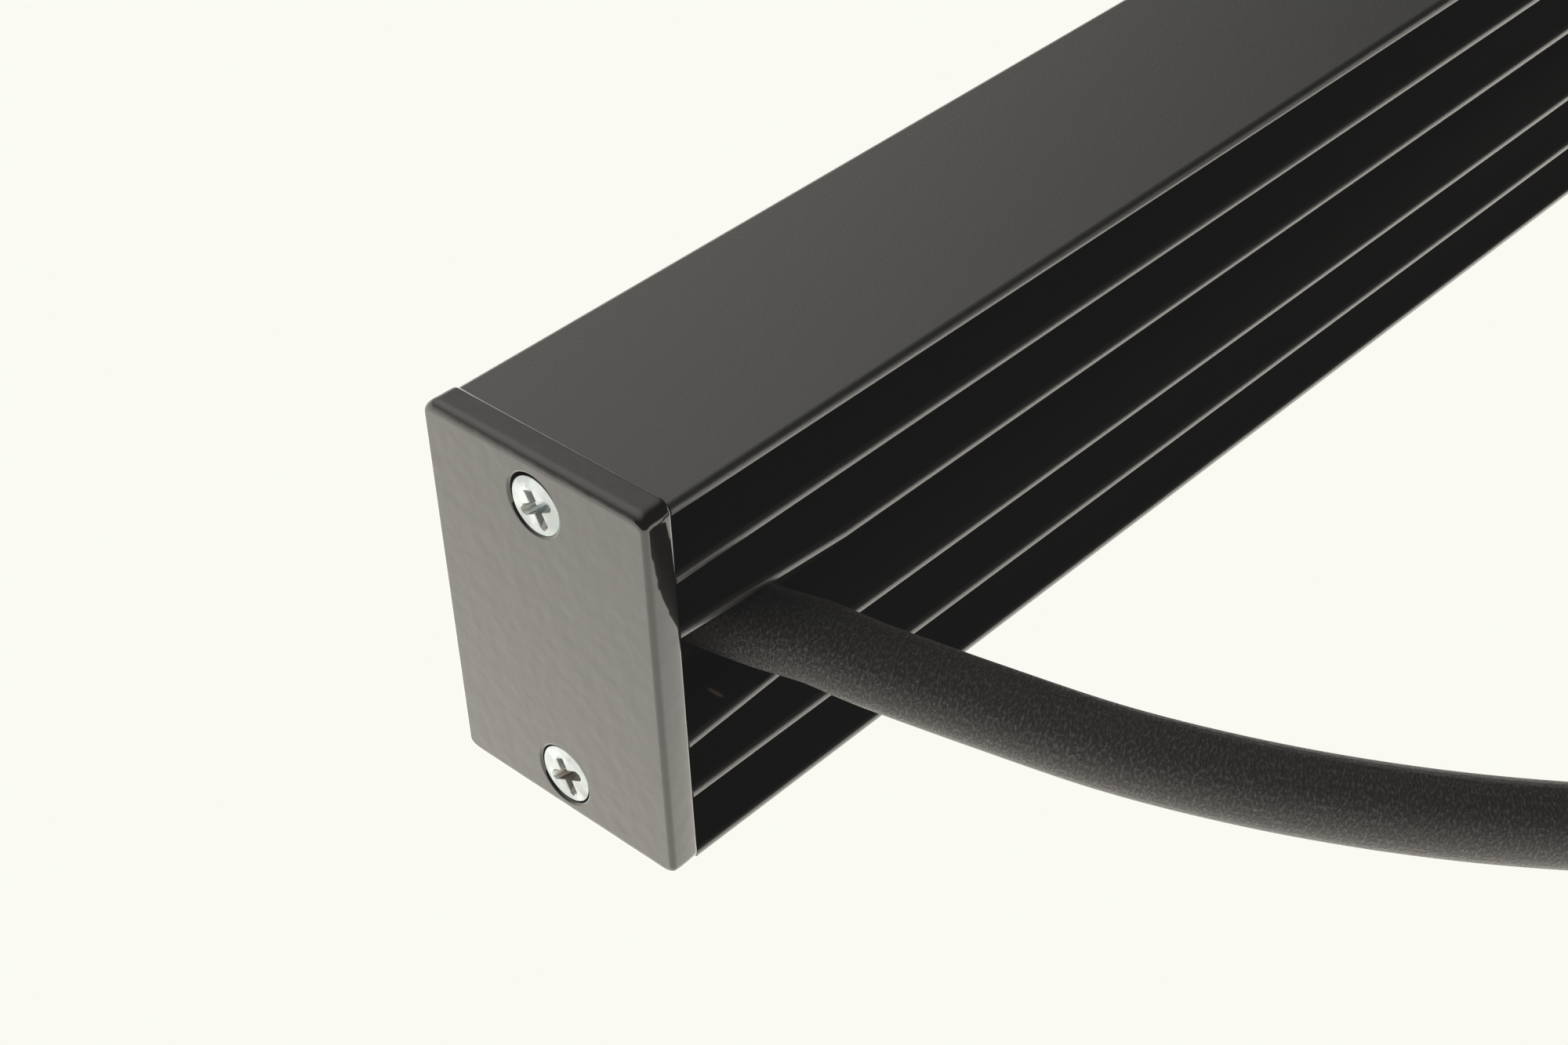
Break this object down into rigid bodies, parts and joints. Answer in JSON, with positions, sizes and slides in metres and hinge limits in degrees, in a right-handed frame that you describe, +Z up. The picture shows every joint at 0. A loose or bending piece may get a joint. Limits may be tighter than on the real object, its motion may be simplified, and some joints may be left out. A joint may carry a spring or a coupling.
{
  "type": "led strip batten",
  "caption": "Slim black aluminium LED strip batten with a finned heat-sink back, opal cover, screwed end caps and a rubber cord from its back.",
  "frame": {"origin": "middle of the batten's length and depth, on the surface that its lower side rests on", "axes": "+X along the batten towards the cable end, +Y out of the finned back, +Z up across the two plain side walls"},
  "size_m": [0.5, 0.152, 0.035],
  "materials": {
    "anodised_housing": "black satin anodised",
    "coated_cap": "black fine-texture powder coat",
    "zinc_screw": "bright zinc plated",
    "opal_cover": "opal acrylic",
    "adhesive_tape": "acrylic adhesive tape",
    "strip_board": "white solder mask",
    "led_package": "white package with phosphor",
    "resistor": "black chip",
    "solder": "solder",
    "red_core": "red insulation",
    "black_core": "black insulation",
    "natural_nylon": "natural nylon",
    "cord_rubber": "matte rubber sheath",
    "tie_webbing": "hook-and-loop webbing",
    "nickel_shell": "satin nickel",
    "black_nylon": "moulded black nylon",
    "plated_pin": "plated"
  },
  "bodies": {
    "root": {"housing": "anodised_housing", "end_cap_cable_end": "coated_cap", "end_cap_plain_end": "coated_cap", "cap_screws_cable_end": "zinc_screw", "cap_screws_plain_end": "zinc_screw", "diffuser": "opal_cover", "strip_tape": "adhesive_tape", "strip_board": "strip_board", "led_packages": "led_package", "strip_resistors": "resistor", "solder_joints": "solder", "core_positive": "red_core", "core_negative": "black_core", "strain_relief_tie": "natural_nylon", "cord_lead": "cord_rubber", "cord_coil": "cord_rubber", "cord_tail": "cord_rubber", "coil_tie": "tie_webbing", "connector_shell": "nickel_shell", "connector_insert": "black_nylon", "connector_pins": "plated_pin", "connector_chuck": "natural_nylon", "connector_boot": "black_nylon"}
  },
  "joints": []
}
